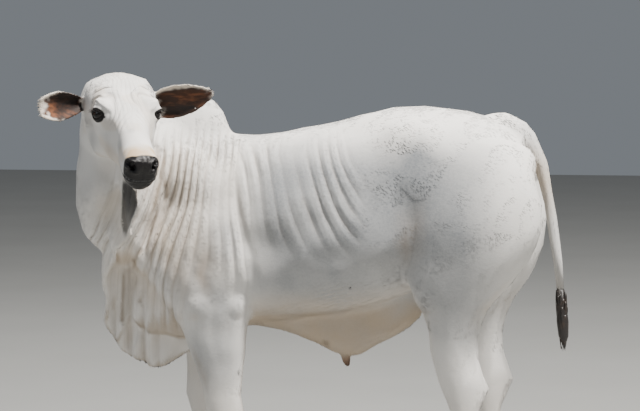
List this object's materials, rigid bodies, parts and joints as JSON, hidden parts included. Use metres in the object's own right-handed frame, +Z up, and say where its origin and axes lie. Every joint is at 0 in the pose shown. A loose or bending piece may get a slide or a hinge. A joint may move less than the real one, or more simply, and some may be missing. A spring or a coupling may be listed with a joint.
{
  "type": "young zebu bull, life-size still model",
  "caption": "Still life-size model of a white humped bull calf standing square with its head turned to its left, with dewlap, drooping ears and black tail switch.",
  "frame": {"origin": "on the floor, under the middle of the whole model's box", "axes": "+Z up; the body lies along X with the chest towards -X and the tail towards +X; the animal's left side faces -Y"},
  "size_m": [1.4968, 0.8706, 1.4007],
  "materials": {
    "coat": "short flat white hair, grey-shaded, cream in the folds; black muzzle, brown inner ears",
    "switch_hair": "long black tail hair",
    "eye": "wet black-brown eyeball",
    "bare_brown_skin": "bare brown skin",
    "hoof": "dull dark grey horn"
  },
  "bodies": {
    "root": {"head": "coat", "neck": "coat", "torso": "coat", "dewlap": "coat", "ear_left": "coat", "ear_right": "coat", "foreleg_left": "coat", "foreleg_right": "coat", "hindleg_left": "coat", "hindleg_right": "coat", "tail": "coat", "tail_switch": "switch_hair", "eye_left": "eye", "eye_right": "eye", "sheath_tip": "bare_brown_skin", "claw_foreleg_left_inner": "hoof", "claw_foreleg_left_outer": "hoof", "claw_foreleg_right_inner": "hoof", "claw_foreleg_right_outer": "hoof", "claw_hindleg_left_inner": "hoof", "claw_hindleg_left_outer": "hoof", "claw_hindleg_right_inner": "hoof", "claw_hindleg_right_outer": "hoof", "dewclaw_foreleg_left_inner": "hoof", "dewclaw_foreleg_left_outer": "hoof", "dewclaw_foreleg_right_inner": "hoof", "dewclaw_foreleg_right_outer": "hoof", "dewclaw_hindleg_left_inner": "hoof", "dewclaw_hindleg_left_outer": "hoof", "dewclaw_hindleg_right_inner": "hoof", "dewclaw_hindleg_right_outer": "hoof"}
  },
  "joints": []
}
